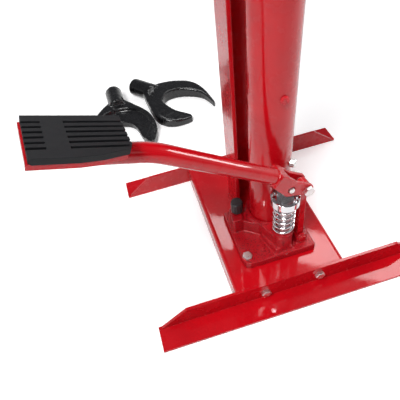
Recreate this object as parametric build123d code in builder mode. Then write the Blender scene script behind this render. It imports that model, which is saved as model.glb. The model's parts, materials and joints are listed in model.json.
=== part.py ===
"""Foot-operated hydraulic coil-spring compressor: base with angle-iron feet, U-section column,
long-stroke hydraulic jack with a side pump and foot lever, raised carriage with the lower arm,
pinned upper arm, and two loose spring yokes lying on the floor behind the pedal.

Millimetres, +Z up. Origin on the floor, under the front end of the base, on the base centreline."""

import os
from math import cos, pi, radians, sin

from build123d import *

os.makedirs("parts", exist_ok=True)

# ---------------------------------------------------------------- driving dimensions
base_w, base_l, base_h, base_t = 168.7, 269.4, 37.5, 4.0
foot_x0, foot_x1, foot_leg, foot_t, foot_bevel = -204.2, 215.8, 37.5, 4.0, 47.5
foot_bolt_at = ((-39.3, 17.5), (45.2, 21.5))

mast_x = 5.8
col_w, col_y0, col_y1, col_t, col_top = 77.0, 136.4, 188.4, 5.0, 1060.0
pin_y, pin_d = 165.0, 16.0
pin_holes = [760.0 + 50.0 * i for i in range(6)]
upper_hole = 960.0

plate_t = 12.0
plate_top = base_h + plate_t
tube_x, tube_y, tube_r, tube_t = mast_x, 101.2, 28.9, 3.0
tube_z0, tube_z1 = 57.0, 470.0
rod_r, inner_r = 11.0, 19.0
carriage_z = 545.0

pump_x, pump_y, head_turn = 6.7, 48.1, 7.0
pump_r, pump_top = 14.5, 85.0
valve_x, valve_y = -42.0, 108.5
plug_x, plug_z = 8.6, 292.0
plunger_r = 8.0
cup_z = 152.5
axis_z = 190.0
p_z = 181.0
f_s, f_z = 24.5, 169.0
lug_s, lug_z = 27.5, 58.0

lever_rise = 37.5
pad_rise = 22.0
lever_r = 10.3

yoke_t = 26.0

# ---------------------------------------------------------------- local frames
ct, st = cos(radians(head_turn)), sin(radians(head_turn))


def head_plane(n=0.0):
    """Vertical plane of the pump linkage: x along the lever, y up, normal toward the front."""
    return Plane(origin=(pump_x - n * st, pump_y + n * ct, 0), x_dir=(ct, st, 0), z_dir=(st, -ct, 0))


def head_point(s, n, z):
    return (pump_x + s * ct - n * st, pump_y + s * st + n * ct, z)


along = (ct, st, 0)
across = (-st, ct, 0)


def ring(r_out, r_in, h):
    Cylinder(r_out, h, align=(Align.CENTER, Align.CENTER, Align.MIN))
    Cylinder(r_in, h, align=(Align.CENTER, Align.CENTER, Align.MIN), mode=Mode.SUBTRACT)


BOT = (Align.CENTER, Align.CENTER, Align.MIN)


def ccw(*pts):
    """The same corner list, ordered anticlockwise so that faces point along their plane."""
    area = sum(a[0] * b[1] - b[0] * a[1] for a, b in zip(pts, pts[1:] + pts[:1]))
    return pts if area > 0 else pts[::-1]


# ================================================================ BASE FRAME
with BuildPart() as base_channel:
    with Locations((0, 0, 0)):
        Box(base_w, base_l, base_h, align=(Align.CENTER, Align.MIN, Align.MIN))
    fillet(base_channel.edges().filter_by(Axis.Y).group_by(Axis.Z)[-1], 6)
    with Locations((0, base_t, 0)):
        Box(base_w - 2 * base_t, base_l - 2 * base_t, base_h - base_t,
            align=(Align.CENTER, Align.MIN, Align.MIN), mode=Mode.SUBTRACT)
    # bolt holes through both end plates
    with BuildSketch(Plane.XZ.offset(1)) as end_holes:
        with Locations(*foot_bolt_at):
            Circle(4.3)
    extrude(amount=-(base_l + 2), mode=Mode.SUBTRACT)
    # bolt holes for the jack
    with BuildSketch(Plane.XY.offset(base_h - 6)) as deck_holes:
        with Locations((-49.9, 42.5), (44, 122)):
            Circle(4.5)
    extrude(amount=8, mode=Mode.SUBTRACT)
base_channel.part.label = "base_channel"
export_step(base_channel.part, "parts/base_channel.step")


def angle_foot(y_face, toward, label):
    """Angle iron: upright leg against the base end, flat leg on the floor, both top corners bevelled."""
    with BuildPart() as foot:
        with BuildSketch(Plane(origin=(foot_x0, y_face, 0), x_dir=(0, toward, 0), z_dir=(toward, 0, 0))) as prof:
            with BuildLine():
                Polyline(*ccw((0, 0), (foot_leg, 0), (foot_leg, foot_t), (foot_t, foot_t),
                         (foot_t, foot_leg), (0, foot_leg)), close=True)
            make_face()
            fillet(prof.vertices().filter_by(lambda v: abs(v.Z - foot_t) < 0.01 and abs(abs(v.Y - y_face) - foot_t) < 0.01), 3.5)
        extrude(amount=toward * (foot_x1 - foot_x0))
        with BuildSketch(Plane(origin=(0, y_face - toward * 1, 0), x_dir=(1, 0, 0), z_dir=(0, -1, 0))):
            with BuildLine():
                Polyline(*ccw((foot_x0 - 1, foot_t + 0.6), (foot_x0 + 5, foot_t + 0.6), (foot_x0 + foot_bevel, foot_leg + 1),
                         (foot_x0 - 1, foot_leg + 1)), close=True)
            make_face()
            with BuildLine():
                Polyline(*ccw((foot_x1 + 1, foot_t + 0.6), (foot_x1 - 5, foot_t + 0.6), (foot_x1 - foot_bevel, foot_leg + 1),
                         (foot_x1 + 1, foot_leg + 1)), close=True)
            make_face()
        extrude(amount=-toward * 12, mode=Mode.SUBTRACT)
        with BuildSketch(Plane(origin=(0, y_face - toward * 1, 0), x_dir=(1, 0, 0), z_dir=(0, -1, 0))):
            with Locations(*foot_bolt_at):
                Circle(4.3)
        extrude(amount=-toward * 12, mode=Mode.SUBTRACT)
    foot.part.label = label
    export_step(foot.part, "parts/%s.step" % label)
    return foot


front_foot = angle_foot(0.0, -1, "front_foot")
rear_foot = angle_foot(base_l, 1, "rear_foot")

with BuildPart() as foot_bolts:
    for y_seat, out in ((-foot_t, -1), (base_l + foot_t, 1)):
        for x, z in foot_bolt_at:
            with BuildSketch(Plane(origin=(x, y_seat, z), x_dir=(1, 0, 0), z_dir=(0, out, 0))):
                RegularPolygon(6.5, 6, major_radius=False)
            extrude(amount=5.3)
            with BuildSketch(Plane(origin=(x, y_seat, z), x_dir=(1, 0, 0), z_dir=(0, -out, 0))):
                Circle(4.0)
            extrude(amount=19)
    chamfer(foot_bolts.edges().group_by(Axis.Y)[0] + foot_bolts.edges().group_by(Axis.Y)[-1], 0.8)
foot_bolts.part.label = "foot_bolts"
export_step(foot_bolts.part, "parts/foot_bolts.step")

with BuildPart() as foot_nuts:
    for y_seat, out in ((base_t, 1), (base_l - base_t, -1)):
        for x, z in foot_bolt_at:
            with BuildSketch(Plane(origin=(x, y_seat, z), x_dir=(1, 0, 0), z_dir=(0, out, 0))):
                RegularPolygon(6.5, 6, major_radius=False)
                Circle(4.15, mode=Mode.SUBTRACT)
            extrude(amount=6.5)
foot_nuts.part.label = "foot_nuts"
export_step(foot_nuts.part, "parts/foot_nuts.step")

# ================================================================ COLUMN
col_h = col_top - base_h
with BuildPart() as column:
    with BuildSketch(Plane.XY.offset(base_h)) as col_prof:
        with Locations((mast_x, (col_y0 + col_y1) / 2)):
            Rectangle(col_w, col_y1 - col_y0)
        fillet(col_prof.vertices().group_by(Axis.Y)[-1], 7)
        with Locations((mast_x, col_y0)):
            Rectangle(col_w - 2 * col_t, col_y1 - col_y0 - col_t, align=(Align.CENTER, Align.MIN), mode=Mode.SUBTRACT)
    extrude(amount=col_h)
    with BuildSketch(Plane.YZ.offset(mast_x - col_w / 2 - 1)) as col_holes:
        with Locations(*[(pin_y, z) for z in pin_holes]):
            Circle(pin_d / 2 + 0.4)
    extrude(amount=col_w + 2, mode=Mode.SUBTRACT)
column.part.label = "column"
export_step(column.part, "parts/column.step")

with BuildPart() as column_cap:
    with BuildSketch(Plane.XY.offset(col_top)) as cap_prof:
        with Locations((mast_x, (col_y0 + col_y1) / 2)):
            Rectangle(col_w, col_y1 - col_y0)
        fillet(cap_prof.vertices().group_by(Axis.Y)[-1], 7)
    extrude(amount=4)
    fillet(column_cap.edges().group_by(Axis.Z)[-1], 1.5)
    with BuildSketch(Plane.XY.offset(col_top)):
        with Locations((mast_x, col_y0 + 22)):
            Rectangle(col_w - 2 * col_t - 0.6, 42)
    extrude(amount=-10)
column_cap.part.label = "column_cap"
export_step(column_cap.part, "parts/column_cap.step")

# ================================================================ JACK BASE CASTING
with BuildPart() as jack_base:
    with BuildSketch(Plane.XY.offset(base_h)) as plate_prof:
        with BuildLine():
            Polyline(*ccw((-58.7, 42), (-56, 32), (-49, 28.5), (52.8, 28.5), (52.8, 134), (-58.7, 134)), close=True)
        make_face()
        fillet(plate_prof.vertices(), 3)
    extrude(amount=plate_t, taper=3)
    # socket collar around the foot of the reservoir tube, flat at the back
    with BuildSketch(Plane.XY.offset(plate_top - 1)):
        with Locations((tube_x, tube_y)):
            Circle(35)
        with Locations((tube_x, 134)):
            Rectangle(90, 20, align=(Align.CENTER, Align.MIN), mode=Mode.SUBTRACT)
    extrude(amount=27)
    # thick web from the collar to the pump, and a low foot around the pump
    with BuildSketch(Plane.XY.offset(plate_top - 1)):
        with BuildLine():
            Polyline(*ccw((-20, 78), (-7.6, 46), (20.4, 46), (22, 74)), close=True)
        make_face()
    extrude(amount=28)
    with BuildSketch(Plane.XY.offset(plate_top - 1)):
        with BuildLine():
            Polyline(*ccw((-20, 70), (-10, 33), (19, 33), (21, 70)), close=True)
        make_face()
    extrude(amount=9, taper=12)
    # pump boss
    with BuildSketch(Plane.XY.offset(plate_top - 1)):
        with Locations((pump_x, pump_y)):
            Circle(pump_r)
    extrude(amount=pump_top - 8 - plate_top + 1)
    # valve boss on the left with its shoulder to the collar
    with BuildSketch(Plane.XY.offset(plate_top - 1)) as valve_prof:
        with BuildLine():
            Polyline(*ccw((-55, 90), (-38, 90), (-33, 119), (-52, 119)), close=True)
        make_face()
        fillet(valve_prof.vertices(), 4)
    extrude(amount=29)
    with BuildSketch(Plane.XY.offset(plate_top - 1)):
        with BuildLine():
            Polyline(*ccw((-40, 92), (-20, 76), (-20, 112), (-40, 112)), close=True)
        make_face()
    extrude(amount=24)
    # lugs for the link pin
    for n0 in (-5.6, 5.6):
        with BuildSketch(head_plane(n0)):
            with Locations((lug_s, lug_z)):
                Circle(8.5)
            with BuildLine():
                Polyline(*ccw((lug_s - 8.5, plate_top - 2), (lug_s + 8.5, plate_top - 2), (lug_s + 8.5, lug_z), (lug_s - 8.5, lug_z)), close=True)
            make_face()
        extrude(amount=5 if n0 < 0 else -5)
    # --- machined features
    with Locations((tube_x, tube_y, tube_z0)):
        Cylinder(tube_r, 60, align=BOT, mode=Mode.SUBTRACT)
    with Locations((tube_x, tube_y, tube_z0 - 7)):
        Cylinder(inner_r + 4, 60, align=BOT, mode=Mode.SUBTRACT)
    with Locations((pump_x, pump_y, 44)):
        Cylinder(plunger_r + 0.06, 60, align=BOT, mode=Mode.SUBTRACT)
    with Locations((valve_x, valve_y, 52)):
        Cylinder(5.0, 40, align=BOT, mode=Mode.SUBTRACT)
    with Locations((-49.9, 42.5, base_h - 1), (44, 122, base_h - 1)):
        Cylinder(4.5, 20, align=BOT, mode=Mode.SUBTRACT)
    with BuildSketch(head_plane(-12)):
        with Locations((lug_s, lug_z)):
            Circle(4.05)
    extrude(amount=-24, mode=Mode.SUBTRACT)
    # oil passages: pump floor to the jack, valve seat to the jack
    with BuildSketch(Plane(origin=(pump_x, 29, 46.5), x_dir=(1, 0, 0), z_dir=(0, 1, 0))):
        Circle(2.0)
    extrude(amount=45, mode=Mode.SUBTRACT)
jack_base.part.label = "jack_base"
export_step(jack_base.part, "parts/jack_base.step")

with BuildPart() as passage_plug:
    with BuildSketch(Plane(origin=(pump_x, 29.6, 46.5), x_dir=(1, 0, 0), z_dir=(0, 1, 0))):
        Circle(1.95)
    extrude(amount=5)
passage_plug.part.label = "passage_plug"
export_step(passage_plug.part, "parts/passage_plug.step")

with BuildPart() as check_ball:
    with Locations((pump_x, 68, 46.5)):
        Sphere(1.85)
check_ball.part.label = "check_ball"
export_step(check_ball.part, "parts/check_ball.step")

with BuildPart() as jack_bolts:
    for x, y in ((-49.9, 42.5), (44, 122)):
        with BuildSketch(Plane.XY.offset(plate_top)):
            with Locations((x, y)):
                RegularPolygon(6.5, 6, major_radius=False)
        extrude(amount=5.3)
        with BuildSketch(Plane.XY.offset(plate_top)):
            with Locations((x, y)):
                Circle(4.0)
        extrude(amount=-26)
    chamfer(jack_bolts.edges().group_by(Axis.Z)[-1], 1.0)
jack_bolts.part.label = "jack_bolts"
export_step(jack_bolts.part, "parts/jack_bolts.step")

with BuildPart() as jack_nuts:
    for x, y in ((-49.9, 42.5), (44, 122)):
        with BuildSketch(Plane.XY.offset(base_h - base_t)):
            with Locations((x, y)):
                RegularPolygon(6.5, 6, major_radius=False)
                Circle(4.15, mode=Mode.SUBTRACT)
        extrude(amount=-6.5)
jack_nuts.part.label = "jack_nuts"
export_step(jack_nuts.part, "parts/jack_nuts.step")

# ================================================================ HYDRAULIC CYLINDER
with BuildPart() as reservoir_tube:
    with Locations((tube_x, tube_y, tube_z0)):
        ring(tube_r, tube_r - tube_t, tube_z1 - tube_z0)
    with BuildSketch(Plane(origin=(plug_x, 50, plug_z), x_dir=(1, 0, 0), z_dir=(0, 1, 0))):
        Circle(4.0)
    extrude(amount=40, mode=Mode.SUBTRACT)
    with BuildSketch(Plane(origin=(tube_x + 22 * 0.74, tube_y - 22 * 0.673, 181), z_dir=(0.74, -0.673, 0))):
        Circle(4.0)
    extrude(amount=14, mode=Mode.SUBTRACT)
reservoir_tube.part.label = "reservoir_tube"
export_step(reservoir_tube.part, "parts/reservoir_tube.step")

with BuildPart() as inner_cylinder:
    with Locations((tube_x, tube_y, tube_z0 - 7)):
        ring(inner_r + 3.9, inner_r, tube_z1 - 18 - tube_z0 + 7)
inner_cylinder.part.label = "inner_cylinder"
export_step(inner_cylinder.part, "parts/inner_cylinder.step")

with BuildPart() as gland_nut:
    with BuildSketch(Plane.XZ) as gland_prof:
        with BuildLine():
            Polyline(*ccw((rod_r + 0.5, tube_z1 - 18), (tube_r - tube_t - 0.1, tube_z1 - 18), (tube_r - tube_t - 0.1, tube_z1),
                     (tube_r + 2, tube_z1), (tube_r + 2, tube_z1 + 10), (tube_r - 3, tube_z1 + 15),
                     (rod_r + 4.5, tube_z1 + 15), (rod_r + 4.5, tube_z1 + 9), (rod_r + 0.5, tube_z1 + 9)), close=True)
        make_face()
    revolve(axis=Axis.Z)
gland_nut.part.label = "gland_nut"
gland_at = gland_nut.part.moved(Location((tube_x, tube_y, 0)))
gland_at.label = "gland_nut"
export_step(gland_at, "parts/gland_nut.step")

with BuildPart() as rod_wiper:
    with Locations((tube_x, tube_y, tube_z1 + 9)):
        ring(rod_r + 4.4, rod_r + 0.05, 7)
    fillet(rod_wiper.edges().group_by(Axis.Z)[-1].sort_by(SortBy.RADIUS)[-1], 1.5)
rod_wiper.part.label = "rod_wiper"
export_step(rod_wiper.part, "parts/rod_wiper.step")

rod_top = carriage_z - 22
with BuildPart() as ram_rod:
    with Locations((tube_x, tube_y, 66)):
        Cylinder(rod_r, rod_top - 66, align=BOT)
    chamfer(ram_rod.edges().group_by(Axis.Z)[-1], 1.0)
    with Locations((tube_x, tube_y, rod_top)):
        Cylinder(7, 14, align=BOT)
ram_rod.part.label = "ram_rod"
export_step(ram_rod.part, "parts/ram_rod.step")

with BuildPart() as ram_piston:
    with Locations((tube_x, tube_y, 58)):
        Cylinder(inner_r - 0.05, 26, align=BOT)
        Cylinder(rod_r + 0.02, 26, align=BOT, mode=Mode.SUBTRACT)
    with Locations((tube_x, tube_y, 58)):
        Cylinder(rod_r + 0.02, 8, align=BOT)
    with Locations((tube_x, tube_y, 70)):
        Cylinder(inner_r + 1, 5, align=BOT, mode=Mode.SUBTRACT)
        Cylinder(inner_r - 4, 5, align=BOT)
        Cylinder(rod_r + 0.02, 5, align=BOT, mode=Mode.SUBTRACT)
ram_piston.part.label = "ram_piston"
export_step(ram_piston.part, "parts/ram_piston.step")

with BuildPart() as ram_seal:
    with Locations((tube_x, tube_y, 70.1)):
        ring(inner_r - 0.05, inner_r - 3.9, 4.8)
ram_seal.part.label = "ram_seal"
export_step(ram_seal.part, "parts/ram_seal.step")

plug_face = tube_y - tube_r
with BuildPart() as filler_plug:
    with BuildSketch(Plane(origin=(plug_x, plug_face + 4.2, plug_z), x_dir=(1, 0, 0), z_dir=(0, -1, 0))):
        Circle(3.9)
    extrude(amount=6.0)
    with BuildSketch(Plane(origin=(plug_x, plug_face - 0.3, plug_z), x_dir=(1, 0, 0), z_dir=(0, -1, 0))):
        Circle(5.6)
    extrude(amount=3.2, taper=18)
    with BuildSketch(Plane(origin=(plug_x, plug_face - 4.5, plug_z), x_dir=(1, 0, 0), z_dir=(0, 1, 0))):
        Rectangle(14, 1.4, rotation=65)
    extrude(amount=2.4, mode=Mode.SUBTRACT)
filler_plug.part.label = "filler_plug"
export_step(filler_plug.part, "parts/filler_plug.step")

breather_dir = (0.74, -0.673, 0)
with BuildPart() as breather:
    with BuildSketch(Plane(origin=(tube_x + 24.5 * breather_dir[0], tube_y + 24.5 * breather_dir[1], 181), z_dir=breather_dir)):
        Circle(3.9)
    extrude(amount=8)
    with BuildSketch(Plane(origin=(tube_x + 28.95 * breather_dir[0], tube_y + 28.95 * breather_dir[1], 181), z_dir=breather_dir)):
        RegularPolygon(6.0, 10)
    extrude(amount=6.5)
    chamfer(breather.faces().sort_by(Axis((0, 0, 0), breather_dir))[-1].edges(), 0.8)
breather.part.label = "breather"
export_step(breather.part, "parts/breather.step")

# ================================================================ PUMP
with BuildPart() as pump_gland:
    with Locations((pump_x, pump_y, pump_top - 8)):
        ring(pump_r, plunger_r + 0.06, 8)
    with Locations((pump_x, pump_y, pump_top - 6)):
        Cylinder(plunger_r + 2.6, 3.5, align=BOT, mode=Mode.SUBTRACT)
pump_gland.part.label = "pump_gland"
export_step(pump_gland.part, "parts/pump_gland.step")

with BuildPart() as plunger_seal:
    with Locations((pump_x, pump_y, pump_top - 5.9)):
        ring(plunger_r + 2.5, plunger_r + 0.05, 3.3)
plunger_seal.part.label = "plunger_seal"
export_step(plunger_seal.part, "parts/plunger_seal.step")

with BuildPart() as plunger:
    with Locations((pump_x, pump_y, 58)):
        Cylinder(plunger_r, cup_z - 58, align=BOT)
    chamfer(plunger.edges().group_by(Axis.Z)[0], 0.8)
    with Locations((pump_x, pump_y, cup_z)):
        Cylinder(4.5, 14, align=BOT)
plunger.part.label = "plunger"
export_step(plunger.part, "parts/plunger.step")

with BuildPart() as spring_cup:
    with BuildSketch(Plane.XZ) as cup_prof:
        with BuildLine():
            Polyline(*ccw((4.55, cup_z), (17.4, cup_z), (17.4, cup_z - 5.5), (19.5, cup_z - 5.5), (19.5, cup_z + 6.0),
                     (18.0, cup_z + 6.8), (16.6, cup_z + 5.6), (13.5, cup_z + 2.6), (4.55, cup_z + 2.6)), close=True)
        make_face()
    revolve(axis=Axis.Z)
cup_at = spring_cup.part.moved(Location((pump_x, pump_y, 0)))
cup_at.label = "spring_cup"
export_step(cup_at, "parts/spring_cup.step")

spring_r, wire_r = 13.7, 1.65
spring_z0, spring_z1 = pump_top + wire_r + 0.1, cup_z - wire_r - 0.1
with BuildPart() as return_spring:
    with BuildLine() as coil:
        Helix(pitch=(spring_z1 - spring_z0) / 6.0, height=spring_z1 - spring_z0, radius=spring_r, center=(pump_x, pump_y, spring_z0))
    with BuildSketch(Plane(origin=coil.line @ 0, z_dir=coil.line % 0)):
        Circle(wire_r)
    sweep()
return_spring.part.label = "return_spring"
export_step(return_spring.part, "parts/return_spring.step")

with BuildPart() as plunger_head:
    with BuildSketch(head_plane(-7)):
        with Locations((0, p_z)):
            Circle(9.0)
        with BuildLine():
            Polyline(*ccw((-9, cup_z + 2.7), (9, cup_z + 2.7), (9, p_z), (-9, p_z)), close=True)
        make_face()
    extrude(amount=-14)
    with Locations((pump_x, pump_y, cup_z + 1)):
        Cylinder(4.55, 13.2, align=BOT, mode=Mode.SUBTRACT)
    with BuildSketch(head_plane(-9)):
        with Locations((0, p_z)):
            Circle(4.02)
    extrude(amount=-18, mode=Mode.SUBTRACT)
plunger_head.part.label = "plunger_head"
export_step(plunger_head.part, "parts/plunger_head.step")

with BuildPart() as plunger_pin:
    with BuildSketch(head_plane(-14)):
        with Locations((0, p_z)):
            Circle(4.0)
    extrude(amount=-28)
    chamfer(plunger_pin.edges().filter_by(GeomType.CIRCLE), 0.6)
plunger_pin.part.label = "plunger_pin"
export_step(plunger_pin.part, "parts/plunger_pin.step")

# ================================================================ LINK
with BuildPart() as link:
    with BuildSketch(head_plane(-5)):
        with BuildLine():
            Polyline(*ccw((lug_s - 4.6, lug_z), (lug_s + 4.6, lug_z), (f_s + 4.6, f_z), (f_s - 4.6, f_z)), close=True)
        make_face()
        with Locations((f_s, f_z), (lug_s, lug_z)):
            Circle(7.5)
        with Locations((f_s, f_z), (lug_s, lug_z)):
            Circle(4.06, mode=Mode.SUBTRACT)
    extrude(amount=-10)
link.part.label = "link"
export_step(link.part, "parts/link.step")

with BuildPart() as link_pin:
    with BuildSketch(head_plane(-10.7)):
        with Locations((lug_s, lug_z)):
            Circle(4.0)
    extrude(amount=-25)
    with BuildSketch(head_plane(-10.7)):
        with Locations((lug_s, lug_z)):
            Circle(6.0)
    extrude(amount=2.2)
    chamfer(link_pin.edges().filter_by(GeomType.CIRCLE).sort_by(Axis((0, 0, 0), across))[0], 0.7)
link_pin.part.label = "link_pin"
export_step(link_pin.part, "parts/link_pin.step")

with BuildPart() as link_clip:
    with BuildSketch(head_plane(11.0)):
        with Locations((lug_s, lug_z)):
            Circle(6.5)
            Circle(4.02, mode=Mode.SUBTRACT)
    extrude(amount=-1.2)
link_clip.part.label = "link_clip"
export_step(link_clip.part, "parts/link_clip.step")

# ================================================================ FOOT LEVER
cr, sr = cos(radians(lever_rise)), sin(radians(lever_rise))
cp, sp = cos(radians(pad_rise)), sin(radians(pad_rise))


def on_lever(t, q):
    """(s, z) of a point t along the lever axis from above the plunger and q square to it."""
    return (-t * cr + q * sr, axis_z + t * sr + q * cr)


with BuildPart() as lever_head:
    # two cheeks
    for n0 in (-12.3, 7.3):
        with BuildSketch(head_plane(n0)) as cheek:
            with BuildLine():
                Polyline(*ccw(on_lever(24, 10), on_lever(24, -10), (-9.5, p_z - 5), (-4, p_z - 10.2), (f_s - 8, f_z - 5), (f_s - 3, f_z - 8),
                              (f_s + 7.4, f_z - 4), (f_s + 5.5, f_z + 6.4), (8.5, p_z + 10), (2, p_z + 18)), close=True)
            make_face()
            with Locations((f_s, f_z)):
                Circle(8.5)
            with Locations((0, p_z)):
                Circle(11)
        extrude(amount=-5)
    # solid neck between the cheeks, square to the tube
    with BuildSketch(head_plane(-12.3)):
        with BuildLine():
            Polyline(*ccw(on_lever(24, 10), on_lever(24, -10), on_lever(12, -10), on_lever(12, 10)), close=True)
        make_face()
    extrude(amount=-24.6)
    with BuildSketch(head_plane(-14)):
        with Locations((0, p_z)):
            Circle(5.1)
        with Locations((f_s, f_z)):
            Circle(4.06)
    extrude(amount=-28, mode=Mode.SUBTRACT)
lever_head.part.label = "lever_head"
export_step(lever_head.part, "parts/lever_head.step")

with BuildPart() as fulcrum_pin:
    with BuildSketch(head_plane(-12.5)):
        with Locations((f_s, f_z)):
            Circle(4.0)
    extrude(amount=-35.0)
    with BuildSketch(head_plane(-12.5)):
        with Locations((f_s, f_z)):
            RegularPolygon(6.5, 6, major_radius=False)
    extrude(amount=5.0)
fulcrum_pin.part.label = "fulcrum_pin"
export_step(fulcrum_pin.part, "parts/fulcrum_pin.step")

with BuildPart() as fulcrum_nut:
    with BuildSketch(head_plane(12.6)):
        with Locations((f_s, f_z)):
            RegularPolygon(6.5, 6, major_radius=False)
            Circle(4.1, mode=Mode.SUBTRACT)
    extrude(amount=-6.5)
fulcrum_nut.part.label = "fulcrum_nut"
export_step(fulcrum_nut.part, "parts/fulcrum_nut.step")

knee = (-153.7, axis_z + 153.7 * sr / cr)
tube_end = (knee[0] - 60 * cp, knee[1] + 60 * sp)
with BuildPart() as lever_tube:
    with BuildLine(head_plane(0)) as lever_path:
        FilletPolyline(on_lever(24, 0), knee, tube_end, radius=110)
    with BuildSketch(Plane(origin=lever_path.wires()[0] @ 0, z_dir=lever_path.wires()[0] % 0)):
        Circle(lever_r)
        Circle(lever_r - 2.5, mode=Mode.SUBTRACT)
    sweep(path=lever_path.wires()[0])
lever_tube.part.label = "lever_tube"
export_step(lever_tube.part, "parts/lever_tube.step")

# pedal frame: origin on the tube axis at the lower edge of the pad, x toward the pump, z square to the pad
pad_o = head_point(-165.3, 0, 313.3)
pad_x = (ct * cp, st * cp, -sp)
pad_z = (ct * sp, st * sp, cp)


def pad_plane(h):
    return Plane(origin=tuple(pad_o[i] + pad_z[i] * h for i in range(3)), x_dir=pad_x, z_dir=pad_z)


pad_outline = [(-101.2, 30), (-15.2, 30), (-15.2, -15.5), (-18.5, -22), (-41.5, -28.2), (-61, -30.6), (-99, -30.6), (-101.2, -28.5)]
pad_seat = 14.6
with BuildPart() as pedal_plate:
    with BuildSketch(pad_plane(pad_seat - 4.2)):
        with BuildLine():
            Polyline(*ccw((-103.2, 29.5), (-16.5, 29.5), (-16.5, -15.0), (-19.5, -21), (-42, -27.6), (-61, -29.8), (-103.2, -29.8)), close=True)
        make_face()
    extrude(amount=4.15)
    with BuildSketch(pad_plane(pad_seat - 5.6)):
        with BuildLine():
            Polyline(*ccw((-103.2, 29.5), (-16.5, 29.5), (-16.5, 26.5), (-100.2, 26.5), (-100.2, -26.8), (-61, -26.8), (-42, -24.6), (-19.5, -18),
                     (-19.5, -21), (-42, -27.6), (-61, -29.8), (-103.2, -29.8)), close=True)
        make_face()
    extrude(amount=3)
pedal_plate.part.label = "pedal_plate"
export_step(pedal_plate.part, "parts/pedal_plate.step")

groove_n = [19.6 - 7.42 * i for i in range(6)]
with BuildPart() as pedal_pad:
    with BuildSketch(pad_plane(pad_seat)) as pad_sk:
        with BuildLine():
            Polyline(*ccw(*pad_outline), close=True)
        make_face()
    extrude(amount=6.2)
    with BuildSketch(pad_plane(pad_seat + 6.2)):
        with Locations(*[(-94.5, n) for n in groove_n]):
            Rectangle(17, 3.0)
        with Locations(*[(-40.0, n) for n in groove_n]):
            Rectangle(54.6, 3.0)
    extrude(amount=-2.6, mode=Mode.SUBTRACT)
    # notched end toward the pump
    with BuildSketch(pad_plane(pad_seat + 2.5)):
        with Locations(*[(-15.2, n) for n in groove_n]):
            Rectangle(5, 3.0)
    extrude(amount=5, mode=Mode.SUBTRACT)
pedal_pad.part.label = "pedal_pad"
export_step(pedal_pad.part, "parts/pedal_pad.step")

# ================================================================ RELEASE VALVE
with BuildPart() as release_valve:
    with Locations((valve_x, valve_y, 53)):
        Cylinder(4.9, 26.5, align=BOT)
    chamfer(release_valve.edges().group_by(Axis.Z)[0], 1.5)
    with Locations((valve_x, valve_y, 79.5)):
        Cylinder(3.0, 12, align=BOT)
release_valve.part.label = "release_valve"
export_step(release_valve.part, "parts/release_valve.step")

with BuildPart() as release_knob:
    with Locations((valve_x, valve_y, 80)):
        Cylinder(9.0, 20, align=BOT)
    fillet(release_knob.edges().group_by(Axis.Z)[-1], 2.0)
    with Locations((valve_x, valve_y, 79.5)):
        Cylinder(3.05, 12.2, align=BOT, mode=Mode.SUBTRACT)
    with Locations(*[Location((valve_x + 9.8 * cos(radians(a)), valve_y + 9.8 * sin(radians(a)), 79.9)) for a in range(0, 360, 30)]):
        Cylinder(1.5, 21, align=BOT, mode=Mode.SUBTRACT)
release_knob.part.label = "release_knob"
export_step(release_knob.part, "parts/release_knob.step")


# ================================================================ CARRIAGE AND ARMS
def sleeve(z_mid, half, label, pin_hole=False):
    """Welded sleeve that wraps the column with 1 mm of play."""
    with BuildPart() as body:
        with BuildSketch(Plane.XY.offset(z_mid - half)) as prof:
            with Locations((mast_x, (col_y0 + col_y1) / 2)):
                Rectangle(col_w + 2 + 10, col_y1 - col_y0 + 2 + 10)
            fillet(prof.vertices(), 5)
            with Locations((mast_x, (col_y0 + col_y1) / 2)):
                Rectangle(col_w + 2, col_y1 - col_y0 + 2, mode=Mode.SUBTRACT)
        extrude(amount=2 * half)
        if pin_hole:
            with BuildSketch(Plane.YZ.offset(mast_x - 60)):
                with Locations((pin_y, upper_hole)):
                    Circle(pin_d / 2 + 0.2)
            extrude(amount=120, mode=Mode.SUBTRACT)
        else:
            # pockets for the wear pads
            with Locations((mast_x, col_y1 + 0.9, z_mid + half - 22)):
                Box(50, 4.1, 18, align=(Align.CENTER, Align.MIN, Align.MIN), mode=Mode.SUBTRACT)
            with Locations((mast_x, col_y0 - 5.0, z_mid - half + 4)):
                Box(74, 4.1, 18, align=(Align.CENTER, Align.MIN, Align.MIN), mode=Mode.SUBTRACT)
    body.part.label = label
    export_step(body.part, "parts/%s.step" % label)
    return body


def arm(z_mid, label, ram_socket=False):
    """Square tube arm with a gusset below and a turned spigot at its nose."""
    y_root = col_y0 - 6
    with BuildPart() as body:
        with BuildSketch(Plane(origin=(mast_x, y_root, z_mid), x_dir=(1, 0, 0), z_dir=(0, -1, 0))) as prof:
            Rectangle(40, 40)
            fillet(prof.vertices(), 5)
        extrude(amount=y_root - 30)
        with BuildSketch(Plane(origin=(mast_x, 30, z_mid), x_dir=(1, 0, 0), z_dir=(0, -1, 0))):
            Circle(12.75)
        extrude(amount=52)
        chamfer(body.edges().group_by(Axis.Y)[0], 1.5)
        if ram_socket:
            with Locations((tube_x, tube_y, z_mid - 22)):
                Cylinder(17, 8, align=BOT)
            with Locations((tube_x, tube_y, z_mid - 23)):
                Cylinder(7.1, 15.3, align=BOT, mode=Mode.SUBTRACT)
            with BuildSketch(Plane.YZ.offset(mast_x - 6)):
                with BuildLine():
                    Polyline(*ccw((y_root, z_mid + 45), (y_root, z_mid + 18), (50, z_mid + 18), (50, z_mid + 22)), close=True)
                make_face()
            extrude(amount=12)
        else:
            with BuildSketch(Plane.YZ.offset(mast_x - 6)):
                with BuildLine():
                    Polyline(*ccw((y_root, z_mid - 45), (y_root, z_mid - 18), (50, z_mid - 18), (50, z_mid - 22)), close=True)
                make_face()
            extrude(amount=12)
    body.part.label = label
    export_step(body.part, "parts/%s.step" % label)
    return body


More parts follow.
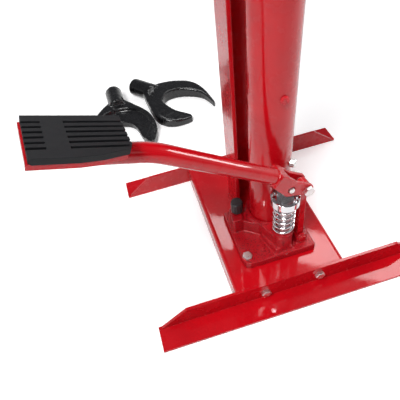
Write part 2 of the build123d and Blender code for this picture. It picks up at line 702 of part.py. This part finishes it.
carriage = sleeve(carriage_z, 48, "carriage_sleeve")
lower_arm = arm(carriage_z, "lower_arm", ram_socket=True)

with BuildPart() as wear_pads:
    with Locations((mast_x, col_y1 + 0.1 + 0.2, carriage_z + 48 - 21.9)):
        Box(49.8, 4.6, 17.8, align=(Align.CENTER, Align.MIN, Align.MIN))
    with Locations((mast_x, col_y0 - 4.9, carriage_z - 48 + 4.1)):
        Box(73.8, 4.6, 17.8, align=(Align.CENTER, Align.MIN, Align.MIN))
wear_pads.part.label = "wear_pads"
export_step(wear_pads.part, "parts/wear_pads.step")

upper_bracket = sleeve(upper_hole, 50, "upper_bracket", pin_hole=True)
upper_arm = arm(upper_hole, "upper_arm")

with BuildPart() as lock_pin:
    with BuildSketch(Plane.YZ.offset(mast_x - 52)):
        with Locations((pin_y, upper_hole)):
            Circle(pin_d / 2)
    extrude(amount=112)
    chamfer(lock_pin.edges().group_by(Axis.X)[0], 1.5)
    with BuildSketch(Plane.YZ.offset(mast_x + 60)) as head:
        with Locations((pin_y, upper_hole)):
            Circle(12)
    extrude(amount=8)
lock_pin.part.label = "lock_pin"
export_step(lock_pin.part, "parts/lock_pin.step")

# ================================================================ LOOSE SPRING YOKES
# plan outline in a frame whose origin is the closed end of the shank and x runs into the ring
shank_r, bore_r, shank_l = 19.5, 12.9, 62.0


def yoke(origin, heading, outer, tip, inner, tip2, outer2, shelf, label):
    """Forged yoke lying flat: three spline edges in the shank frame, a socket shank and an optional spring shelf."""
    c, s = cos(radians(heading)), sin(radians(heading))
    flat = Plane(origin=(origin[0], origin[1], 0), x_dir=(c, s, 0), z_dir=(0, 0, 1))
    with BuildPart() as body:
        with BuildSketch(flat):
            with BuildLine():
                e1 = Spline(*outer)
                Line(e1 @ 1, tip)
                e2 = Spline(*inner)
                Line(tip, e2 @ 0)
                Line(e2 @ 1, tip2)
                e3 = Spline(*outer2)
                Line(tip2, e3 @ 0)
                Line(e3 @ 1, e1 @ 0)
            make_face()
        extrude(amount=yoke_t)
        chamfer(body.edges().group_by(Axis.Z)[-1].sort_by(SortBy.LENGTH)[-2], 2.0)
        with BuildSketch(Plane(origin=(origin[0], origin[1], shank_r), x_dir=(-s, c, 0), z_dir=(c, s, 0))):
            Circle(shank_r)
        extrude(amount=shank_l)
        if shelf:
            with BuildSketch(flat.offset(yoke_t - 9)):
                with Locations(shelf):
                    Circle(61)
            extrude(amount=40, mode=Mode.SUBTRACT)
        with BuildSketch(Plane(origin=(origin[0] - c, origin[1] - s, shank_r), x_dir=(-s, c, 0), z_dir=(c, s, 0))):
            Circle(bore_r)
        extrude(amount=49, mode=Mode.SUBTRACT)
    body.part.label = label
    export_step(body.part, "parts/%s.step" % label)
    return body


right_yoke = yoke(
    (-133.0, 602.0), -49.5,
    [(46, 21), (62, 42), (87, 60), (115, 71), (138, 72), (161, 66), (184, 54), (205, 41)], (207, 35),
    [(200, 38), (184, 45), (160, 50), (138, 45), (113, 32), (98, 15), (94, 0), (101, -17), (125, -28), (148, -30), (172, -24), (184, -22)], (191, -27),
    [(187, -36), (175, -54), (155, -68), (131, -71), (101, -58), (66, -34), (46, -20)],
    None, "right_yoke")
left_yoke = yoke(
    (-184.0, 596.0), -88.0,
    [(46, 20), (56, 27), (76, 40), (104, 57), (130, 66), (159, 68), (184, 62), (205, 51)], (209, 45),
    [(203, 42), (185, 33), (165, 29), (145, 26), (126, 17), (114, 0), (110, -18), (118, -36), (138, -47), (162, -46)], (172, -50),
    [(168, -60), (145, -72), (118, -72), (90, -59), (66, -42), (46, -20)],
    (138, -4), "left_yoke")
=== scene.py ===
import json
import math

import bmesh
import bpy
from mathutils import Matrix, Vector, noise


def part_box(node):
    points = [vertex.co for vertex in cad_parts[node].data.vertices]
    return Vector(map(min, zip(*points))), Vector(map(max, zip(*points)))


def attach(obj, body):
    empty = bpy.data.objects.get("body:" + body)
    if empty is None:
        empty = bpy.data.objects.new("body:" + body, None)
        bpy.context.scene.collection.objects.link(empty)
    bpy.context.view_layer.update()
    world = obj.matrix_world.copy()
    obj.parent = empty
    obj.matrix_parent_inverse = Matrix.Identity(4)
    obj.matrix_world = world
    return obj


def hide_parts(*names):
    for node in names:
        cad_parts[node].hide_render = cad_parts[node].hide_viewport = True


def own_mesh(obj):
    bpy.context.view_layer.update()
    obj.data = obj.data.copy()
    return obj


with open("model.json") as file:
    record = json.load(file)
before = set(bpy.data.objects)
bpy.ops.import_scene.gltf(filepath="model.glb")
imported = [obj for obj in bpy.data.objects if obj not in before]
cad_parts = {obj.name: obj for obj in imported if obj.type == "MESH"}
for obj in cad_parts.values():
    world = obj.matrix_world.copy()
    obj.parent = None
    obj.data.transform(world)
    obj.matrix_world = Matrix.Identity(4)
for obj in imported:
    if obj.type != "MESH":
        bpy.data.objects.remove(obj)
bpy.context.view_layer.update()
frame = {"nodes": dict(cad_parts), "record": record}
N = frame["nodes"]


# ------------------------------------------------------------------ material helpers
def start(name):
    m = bpy.data.materials.new(name)
    m.use_nodes = True
    nt = m.node_tree
    return m, nt, nt.nodes["Principled BSDF"], nt.nodes.new("ShaderNodeTexCoord")


def tex(nt, tc, scale, detail=3.0, rough=0.55, stretch=None, distortion=0.0):
    n = nt.nodes.new("ShaderNodeTexNoise")
    n.inputs["Scale"].default_value = scale
    n.inputs["Detail"].default_value = detail
    n.inputs["Roughness"].default_value = rough
    n.inputs["Distortion"].default_value = distortion
    src = tc.outputs["Object"]
    if stretch:
        mp = nt.nodes.new("ShaderNodeMapping")
        mp.inputs["Scale"].default_value = stretch
        nt.links.new(src, mp.inputs["Vector"])
        src = mp.outputs["Vector"]
    nt.links.new(src, n.inputs["Vector"])
    return n.outputs["Fac"]


def ramp(nt, src, lo, hi, a=0.0, b=1.0):
    r = nt.nodes.new("ShaderNodeMapRange")
    r.interpolation_type = "SMOOTHSTEP"
    r.inputs["From Min"].default_value = lo
    r.inputs["From Max"].default_value = hi
    r.inputs["To Min"].default_value = a
    r.inputs["To Max"].default_value = b
    nt.links.new(src, r.inputs["Value"])
    return r.outputs["Result"]


def math2(nt, op, a, b):
    n = nt.nodes.new("ShaderNodeMath")
    n.operation = op
    for i, v in enumerate((a, b)):
        if isinstance(v, (int, float)):
            n.inputs[i].default_value = v
        else:
            nt.links.new(v, n.inputs[i])
    return n.outputs[0]


def mix(nt, fac, a, b):
    n = nt.nodes.new("ShaderNodeMix")
    n.data_type = "RGBA"
    for sock, v in ((n.inputs[0], fac), (n.inputs[6], a), (n.inputs[7], b)):
        if isinstance(v, (tuple, list)):
            sock.default_value = (*v, 1.0) if len(v) == 3 else v
        elif isinstance(v, (int, float)):
            sock.default_value = v
        else:
            nt.links.new(v, sock)
    return n.outputs[2]


def bump(nt, height, distance, strength=1.0, normal=None):
    n = nt.nodes.new("ShaderNodeBump")
    n.inputs["Distance"].default_value = distance
    n.inputs["Strength"].default_value = strength
    nt.links.new(height, n.inputs["Height"])
    if normal is not None:
        nt.links.new(normal, n.inputs["Normal"])
    return n.outputs["Normal"]


def soft_edges(nt, radius):
    n = nt.nodes.new("ShaderNodeBevel")
    n.samples = 4
    n.inputs["Radius"].default_value = radius
    return n.outputs["Normal"]


def edge_mask(nt, rounded, lo=0.80, hi=0.985):
    """1 on outside edges, 0 on flats, from how far the rounded normal leans from the face's own."""
    g = nt.nodes.new("ShaderNodeNewGeometry")
    d = nt.nodes.new("ShaderNodeVectorMath")
    d.operation = "DOT_PRODUCT"
    nt.links.new(rounded, d.inputs[0])
    nt.links.new(g.outputs["Normal"], d.inputs[1])
    return ramp(nt, d.outputs["Value"], hi, lo)


def put(nt, out, sock):
    nt.links.new(out, sock)


# ------------------------------------------------------------------ materials
def gloss_paint(name, color, deep, peel=0.00002, edge=0.0008, edge_wear_and_sheen=0.30):
    """Sprayed gloss enamel: orange peel, pooled darker tone, thin edges lightened pale pink as partly worn paint and
    partly painted edge highlight, wiped dust in the roughness.
    """
    m, nt, b, tc = start(name)
    rounded = soft_edges(nt, edge)
    mask = edge_mask(nt, rounded)
    worn_and_sheen_edges = math2(nt, "MULTIPLY", mask, ramp(nt, tex(nt, tc, 260, 5), 0.50, 0.62))
    tone = mix(nt, ramp(nt, tex(nt, tc, 14, 2), 0.30, 0.75, 0.0, 0.45), color, deep)
    speck = ramp(nt, tex(nt, tc, 900, 2, 0.4), 0.70, 0.78, 0.0, 0.35)
    tone = mix(nt, speck, tone, tuple(c * 0.55 for c in color))
    # outside edges lightened toward pale pink: partly worn paint, partly a painted highlight along the edges
    put(nt, mix(nt, math2(nt, "MULTIPLY", worn_and_sheen_edges, edge_wear_and_sheen), tone, (0.80, 0.42, 0.40)), b.inputs["Base Color"])
    put(nt, ramp(nt, tex(nt, tc, 45, 4), 0.35, 0.75, 0.20, 0.36), b.inputs["Roughness"])
    b.inputs["Specular IOR Level"].default_value = 0.12
    b.inputs["Coat Weight"].default_value = 0.9
    b.inputs["Coat IOR"].default_value = 1.48
    put(nt, ramp(nt, tex(nt, tc, 70, 4), 0.40, 0.72, 0.015, 0.075), b.inputs["Coat Roughness"])
    n1 = bump(nt, tex(nt, tc, 26, 1), peel * 8, 0.45, rounded)
    n2 = bump(nt, tex(nt, tc, 420, 2), peel, 0.8, n1)
    put(nt, n2, b.inputs["Normal"])
    put(nt, n2, b.inputs["Coat Normal"])
    return m


def cast_paint(name, color, deep, fine=1250, depth=0.00022, edge=0.0014, coat=0.75, rough=(0.34, 0.55), painted_glint=0.30, swell=0.0010):
    """Sand-cast skin under enamel: grain, pits, coarse waviness, painted shade darkening the pits, painted glints
    lightening the grain.
    """
    m, nt, b, tc = start(name)
    rounded = soft_edges(nt, edge)
    grain = tex(nt, tc, fine, 3, 0.6)
    pits = ramp(nt, tex(nt, tc, fine * 0.36, 3, 0.55), 0.34, 0.52)
    wave = tex(nt, tc, 95, 3)
    tone = mix(nt, math2(nt, "MULTIPLY", grain, 0.8), deep, color)
    # painted glints: lighter flecks on the grain stand in for sparkle highlights
    tone = mix(nt, ramp(nt, grain, 0.60, 0.72, 0.0, painted_glint), tone, tuple(min(1.0, c * 1.5 + 0.12) for c in color))
    # painted shade: the low pits are darkened toward a deep tone
    tone = mix(nt, ramp(nt, pits, 0.0, 1.0, 0.75, 0.0), tone, tuple(c * 0.35 for c in deep))
    put(nt, tone, b.inputs["Base Color"])
    put(nt, ramp(nt, wave, 0.3, 0.7, *rough), b.inputs["Roughness"])
    b.inputs["Specular IOR Level"].default_value = 0.25
    b.inputs["Coat Weight"].default_value = coat
    put(nt, ramp(nt, grain, 0.3, 0.7, 0.05, 0.20), b.inputs["Coat Roughness"])
    h = math2(nt, "ADD", math2(nt, "MULTIPLY", grain, 0.5), pits)
    n1 = bump(nt, wave, swell, 0.5, rounded)
    n2 = bump(nt, h, depth, 0.9, n1)
    put(nt, n2, b.inputs["Normal"])
    put(nt, n2, b.inputs["Coat Normal"])
    return m


def metal(name, color, dark, rough, scale=300, depth=0.00003, stretch=None, edge=0.0005, tint=None):
    """Bare or plated metal: cloudy tone, fine tool or handling marks in roughness and bump."""
    m, nt, b, tc = start(name)
    rounded = soft_edges(nt, edge)
    fine = tex(nt, tc, scale, 4, 0.6, stretch)
    cloud = tex(nt, tc, 60, 3)
    tone = mix(nt, ramp(nt, cloud, 0.35, 0.72), color, dark)
    if tint:
        tone = mix(nt, ramp(nt, tex(nt, tc, 120, 2), 0.45, 0.75, 0.0, 0.6), tone, tint)
    put(nt, tone, b.inputs["Base Color"])
    b.inputs["Metallic"].default_value = 1.0
    put(nt, ramp(nt, fine, 0.3, 0.72, *rough), b.inputs["Roughness"])
    n1 = bump(nt, fine, depth, 0.8, rounded)
    put(nt, n1, b.inputs["Normal"])
    return m


def rubber(name, color, dust):
    m, nt, b, tc = start(name)
    rounded = soft_edges(nt, 0.0007)
    fine = tex(nt, tc, 1500, 3, 0.65)
    smudge = tex(nt, tc, 55, 5, 0.6)
    put(nt, mix(nt, ramp(nt, smudge, 0.42, 0.78, 0.0, 0.45), color, dust), b.inputs["Base Color"])
    put(nt, ramp(nt, smudge, 0.3, 0.8, 0.42, 0.66), b.inputs["Roughness"])
    b.inputs["Specular IOR Level"].default_value = 0.28
    n1 = bump(nt, tex(nt, tc, 160, 3), 0.00018, 0.5, rounded)
    put(nt, bump(nt, fine, 0.00007, 0.7, n1), b.inputs["Normal"])
    return m


def plastic(name, color, rough, grainy):
    m, nt, b, tc = start(name)
    rounded = soft_edges(nt, 0.0006)
    g = tex(nt, tc, grainy, 3, 0.55)
    put(nt, mix(nt, ramp(nt, tex(nt, tc, 90, 3), 0.35, 0.75, 0.0, 0.5), color, tuple(c * 1.6 + 0.01 for c in color)), b.inputs["Base Color"])
    put(nt, ramp(nt, g, 0.3, 0.7, rough - 0.06, rough + 0.08), b.inputs["Roughness"])
    put(nt, bump(nt, g, 0.00005, 0.6, rounded), b.inputs["Normal"])
    return m


RED, DEEP = (0.54, 0.0026, 0.008), (0.34, 0.0015, 0.006)
mats = {
    "red_paint": gloss_paint("red_gloss_enamel", RED, DEEP),
    "red_casting": cast_paint("red_cast_enamel", (0.68, 0.0030, 0.012), (0.26, 0.0012, 0.006), 1250, 0.00016, 0.0012, 0.55, (0.30, 0.50), 0.18),
    "zinc": metal("bright_zinc", (0.90, 0.90, 0.89), (0.72, 0.72, 0.72), (0.26, 0.44), 420, 0.00004, tint=(0.72, 0.70, 0.60)),
    "steel": metal("machined_steel", (0.58, 0.58, 0.59), (0.40, 0.40, 0.41), (0.22, 0.42), 500, 0.00003, (1, 1, 14)),
    "chrome": metal("bright_chrome", (0.88, 0.88, 0.90), (0.78, 0.78, 0.80), (0.05, 0.14), 260, 0.000012),
    "rubber": rubber("ribbed_rubber", (0.0085, 0.0090, 0.0105), (0.022, 0.023, 0.026)),
    "red_plastic": plastic("red_plug_plastic", (0.50, 0.010, 0.018), 0.24, 800),
    "black_plastic": plastic("black_knob_plastic", (0.018, 0.018, 0.020), 0.36, 1400),
    "nylon": plastic("pad_nylon", (0.62, 0.60, 0.54), 0.50, 900),
    "black_casting": cast_paint("black_cast_enamel", (0.010, 0.010, 0.011), (0.005, 0.005, 0.006), 420, 0.00003, 0.0018, 0.9, (0.20, 0.36), 0.03, 0.0003),
}
slot_of = {s["node"]: s["material_slot"] for s in frame["record"]["subparts"]}


def dress(obj, slot_name):
    obj.data.materials.clear()
    obj.data.materials.append(mats[slot_name])


for node, obj in N.items():
    slots = obj.material_slots
    if not slots:
        obj.data.materials.append(mats[slot_of[node]])
    for s in slots:
        s.link = "OBJECT"
        s.material = mats[slot_of[node]]


# ------------------------------------------------------------------ sculpted pieces
def piece(name, mesh, body, slot_name):
    o = bpy.data.objects.new(name, mesh)
    bpy.context.scene.collection.objects.link(o)
    dress(o, slot_name)
    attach(o, body)
    return o


def bake(o):
    dg = bpy.context.evaluated_depsgraph_get()
    me = bpy.data.meshes.new_from_object(o.evaluated_get(dg))
    o.modifiers.clear()
    o.data = me
    return me


def skinned(node, name, voxel, smooth_steps, shape=None, skin=0.0, skin_scale=300.0, relax=0):
    """The CAD solid as one closed skin with rounded corners and an uneven surface."""
    src = N[node].data
    o = bpy.data.objects.new(name, src.copy())
    bpy.context.scene.collection.objects.link(o)
    w = o.modifiers.new("w", "WELD")
    w.merge_threshold = 0.00001
    r = o.modifiers.new("r", "REMESH")
    r.mode = "VOXEL"
    r.voxel_size = voxel
    s = o.modifiers.new("s", "SMOOTH")
    s.factor = 0.5
    s.iterations = smooth_steps
    me = bake(o)
    me.update()
    if shape:
        for v in me.vertices:
            v.co = shape(v.co)
    if skin:
        normals = [v.normal.copy() for v in me.vertices]
        for v, n in zip(me.vertices, normals):
            k = noise.noise(v.co * skin_scale) + 0.5 * noise.noise(v.co * skin_scale * 2.3 + Vector((3.1, 7.7, 1.3)))
            v.co = v.co + n * (skin * (k - 0.6))
    me.polygons.foreach_set("use_smooth", [True] * len(me.polygons))
    me.update()
    bpy.data.objects.remove(o)
    o = piece(name, me, body_name(node), slot_of[node])
    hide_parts(node)
    return o


bodies = frame["record"]["behaviour"]["bodies"]


def body_name(node):
    return next(b for b, members in bodies.items() if node in members)


def horns(origin, heading, drop):
    """Thins a yoke's horns toward their tips, keeping the underside on the floor."""
    c, s = math.cos(math.radians(heading)), math.sin(math.radians(heading))
    ox, oy = origin

    def shape(p):
        x = (p.x - ox) * c + (p.y - oy) * s
        t = max(0.0, min(1.0, (x - 0.105) / 0.10))
        t = t * t * (3 - 2 * t)
        return Vector((p.x, p.y, p.z * (1 - drop * t)))

    return shape


skinned("right_yoke", "right_yoke_forging", 0.0018, 26, horns((-0.133, 0.602), -49.5, 0.42), 0.00025, 110)
skinned("left_yoke", "left_yoke_forging", 0.0018, 12, horns((-0.184, 0.596), -88.0, 0.30), 0.00025, 110)



def clear_bore(p):
    """Keeps the casting's skin off the pump plunger."""
    dx, dy = p.x - 0.0067, p.y - 0.0481
    rho = math.hypot(dx, dy)
    if rho > 0.0087 or p.z < 0.0435 or rho < 1e-6:
        return p
    if p.z < 0.0485:
        return Vector((p.x, p.y, 0.0438))
    k = 0.0087 / rho
    return Vector((0.0067 + dx * k, 0.0481 + dy * k, p.z))


skinned("jack_base", "jack_base_casting", 0.0009, 3, clear_bore, 0.00014, 420)
skinned("lever_head", "lever_head_casting", 0.0006, 3, None, 0.00006, 420)

# the return spring, as a separate piece with its own mesh
spring = piece("return_spring_coil", N["return_spring"].data.copy(), "frame", "chrome")
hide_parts("return_spring")
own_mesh(spring)


# ------------------------------------------------------------------ weld beads
def bead(name, points, r, body, slot_name="red_paint", lift=0.0):
    """A rippled weld run along a polyline."""
    pts = [Vector(p) for p in points]
    path = []
    for a, b in zip(pts, pts[1:]):
        steps = max(1, int((b - a).length / 0.0007))
        path += [a.lerp(b, i / steps) for i in range(steps)]
    path.append(pts[-1])
    bm = bmesh.new()
    rings, run = [], 0.0
    for i, p in enumerate(path):
        d = (path[min(i + 1, len(path) - 1)] - path[max(i - 1, 0)]).normalized()
        run += (p - path[i - 1]).length if i else 0.0
        side = d.cross(Vector((0.31, 0.17, 0.93))).normalized()
        up = side.cross(d).normalized()
        end = min(1.0, min(i, len(path) - 1 - i) / 5.0 + 0.25)
        k = r * end * (1 + 0.13 * math.sin(run / 0.0034 * 2 * math.pi) + 0.10 * noise.noise(p * 160))
        rings.append([bm.verts.new(p + side * (k * math.cos(t)) + up * (k * math.sin(t)))
                      for t in [2 * math.pi * j / 10 for j in range(10)]])
    for a, b in zip(rings, rings[1:]):
        for j in range(10):
            bm.faces.new((a[j], a[(j + 1) % 10], b[(j + 1) % 10], b[j]))
    bm.faces.new(rings[0][::-1])
    bm.faces.new(rings[-1])
    bmesh.ops.recalc_face_normals(bm, faces=bm.faces)
    me = bpy.data.meshes.new(name)
    bm.to_mesh(me)
    bm.free()
    me.polygons.foreach_set("use_smooth", [True] * len(me.polygons))
    return piece(name, me, body, slot_name)


(cx0, cy0, cz0), (cx1, cy1, cz1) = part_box("column")
e = 0.0008
bead("weld_column_left", [(cx0 - e, cy0 + 0.002, cz0 + e), (cx0 - e, cy1 - 0.008, cz0 + e)], 0.0026, "frame")
bead("weld_column_right", [(cx1 + e, cy0 + 0.002, cz0 + e), (cx1 + e, cy1 - 0.008, cz0 + e)], 0.0026, "frame")
bead("weld_column_rear", [(cx0 + 0.008, cy1 + e, cz0 + e), (cx1 - 0.008, cy1 + e, cz0 + e)], 0.0026, "frame")
for arm_node, name, body in (("lower_arm", "lower", "carriage"), ("upper_arm", "upper", "frame")):
    (ax0, ay0, az0), (ax1, ay1, az1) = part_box(arm_node)
    mz = {"lower": 0.545, "upper": 0.960}[name]
    mx = (ax0 + ax1) / 2
    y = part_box("carriage_sleeve" if name == "lower" else "upper_bracket")[0][1] - e
    for side in (-1, 1):
        bead("weld_%s_arm_%s" % (name, "left" if side < 0 else "right"),
             [(mx + side * (0.020 + e), y, mz - 0.016), (mx + side * (0.020 + e), y, mz + 0.016)], 0.0024, body)


def on_head(s, n, z):
    a = math.radians(7.0)
    return Vector((0.0067 + s * math.cos(a) - n * math.sin(a), 0.0481 + s * math.sin(a) + n * math.cos(a), z))


# ring weld where the lever tube meets its head
rise = math.radians(37.5)
ring_pts = []
for i in range(33):
    t = 2 * math.pi * i / 32
    q, n = 0.0106 * math.cos(t), 0.0106 * math.sin(t)
    ring_pts.append(on_head(-0.0245 * math.cos(rise) + q * math.sin(rise), n, 0.190 + 0.0245 * math.sin(rise) + q * math.cos(rise)))
bead("weld_lever_head", ring_pts, 0.0016, "lever")

# short runs between pedal plate and tube
pad = math.radians(22.0)
for side in (-1, 1):
    pts = []
    for i in range(2):
        x = -0.052 + i * 0.030
        s, z = -0.1653 + x * math.cos(pad), 0.3133 - x * math.sin(pad)
        h = 0.0101
        pts.append(on_head(s + h * math.sin(pad), side * 0.0052, z + h * math.cos(pad)))
    bead("weld_pedal_%s" % ("front" if side < 0 else "rear"), pts, 0.0018, "lever")

# ------------------------------------------------------------------ stage, light, camera
bm = bmesh.new()
size, cells = 6.0, 24
bmesh.ops.create_grid(bm, x_segments=cells, y_segments=cells, size=size)
floor_mesh = bpy.data.meshes.new("floor")
bm.to_mesh(floor_mesh)
bm.free()
floor = bpy.data.objects.new("floor", floor_mesh)
floor.location = (0, 0, -0.0002)
bpy.context.scene.collection.objects.link(floor)
fm, fnt, fb, ftc = start("pale_floor")
put(fnt, mix(fnt, ramp(fnt, tex(fnt, ftc, 3, 2), 0.3, 0.7), (0.93, 0.93, 0.93), (0.90, 0.90, 0.90)), fb.inputs["Base Color"])
fb.inputs["Roughness"].default_value = 0.75
fb.inputs["Emission Color"].default_value = (1, 1, 1, 1)
far = fnt.nodes.new("ShaderNodeVectorMath")
far.operation = "LENGTH"
put(fnt, ftc.outputs["Object"], far.inputs[0])
seen = fnt.nodes.new("ShaderNodeLightPath")
put(fnt, math2(fnt, "MULTIPLY", seen.outputs["Is Camera Ray"], ramp(fnt, far.outputs["Value"], 0.7, 2.4, 0.34, 1.0)), fb.inputs["Emission Strength"])
fb.inputs["Specular IOR Level"].default_value = 0.15
floor_mesh.materials.append(fm)

world = bpy.data.worlds.new("studio")
bpy.context.scene.world = world
world.use_nodes = True
wn = world.node_tree
bg = wn.nodes["Background"]
wtc = wn.nodes.new("ShaderNodeTexCoord")
sep = wn.nodes.new("ShaderNodeSeparateXYZ")
wn.links.new(wtc.outputs["Generated"], sep.inputs[0])
up = ramp(wn, sep.outputs["Z"], 0.02, 0.42)
sky = mix(wn, up, (0.74, 0.74, 0.74), (0.12, 0.12, 0.13))
# upright flags and windows round the room, which gloss paint reflects as streaks
turn = math2(wn, "ARCTAN2", sep.outputs["X"], sep.outputs["Y"])
ripple = math2(wn, "MULTIPLY", math2(wn, "SINE", math2(wn, "MULTIPLY", turn, 7.0), 0.0), 0.16)
band = ramp(wn, math2(wn, "ADD", sep.outputs["Y"], ripple), -0.62, -0.02, 0.0, 1.0)
sky = mix(wn, band, (0.06, 0.06, 0.065), sky)
path = wn.nodes.new("ShaderNodeLightPath")
wn.links.new(mix(wn, path.outputs["Is Camera Ray"], sky, (1.0, 1.0, 1.0)), bg.inputs["Color"])
bg.inputs["Strength"].default_value = 1.08


def area(name, loc, aim, w, h, power):
    d = bpy.data.lights.new(name, "AREA")
    d.shape = "RECTANGLE"
    d.size, d.size_y, d.energy = w, h, power
    o = bpy.data.objects.new(name, d)
    o.location = loc
    o.rotation_euler = (Vector(aim) - Vector(loc)).to_track_quat("-Z", "Y").to_euler()
    bpy.context.scene.collection.objects.link(o)
    return o


area("key", (-0.9, -0.7, 2.0), (0, 0.15, 0.2), 0.8, 0.8, 46)
area("rim", (1.4, 0.05, 0.72), (0, 0.08, 0.25), 0.4, 0.5, 9)
area("back", (0.55, 1.05, 1.7), (-0.05, 0.08, 0.25), 1.5, 0.20, 7)
area("fill", (0.8, -1.8, 1.5), (0, 0.1, 0.1), 1.4, 1.0, 3)

az, pit, rol = 0.155, 0.861, -0.163
d = Vector((math.sin(az) * math.cos(pit), math.cos(az) * math.cos(pit), -math.sin(pit)))
r = d.cross(Vector((0, 0, 1))).normalized()
u = r.cross(d)
r2 = math.cos(rol) * r + math.sin(rol) * u
u2 = -math.sin(rol) * r + math.cos(rol) * u
cam_data = bpy.data.cameras.new("camera")
cam_data.lens = 36.6165
cam_data.sensor_width = 36.0
cam_data.clip_start, cam_data.clip_end = 0.02, 50
cam = bpy.data.objects.new("camera", cam_data)
m = Matrix((r2, u2, -d)).transposed().to_4x4()
m.translation = Vector((-0.15461, -0.26633, 0.56852))
cam.matrix_world = m
bpy.context.scene.collection.objects.link(cam)
bpy.context.scene.camera = cam

sc = bpy.context.scene
sc.view_settings.view_transform = "Standard"
sc.view_settings.look = "None"
sc.view_settings.exposure = 0.0

bpy.context.view_layer.update()
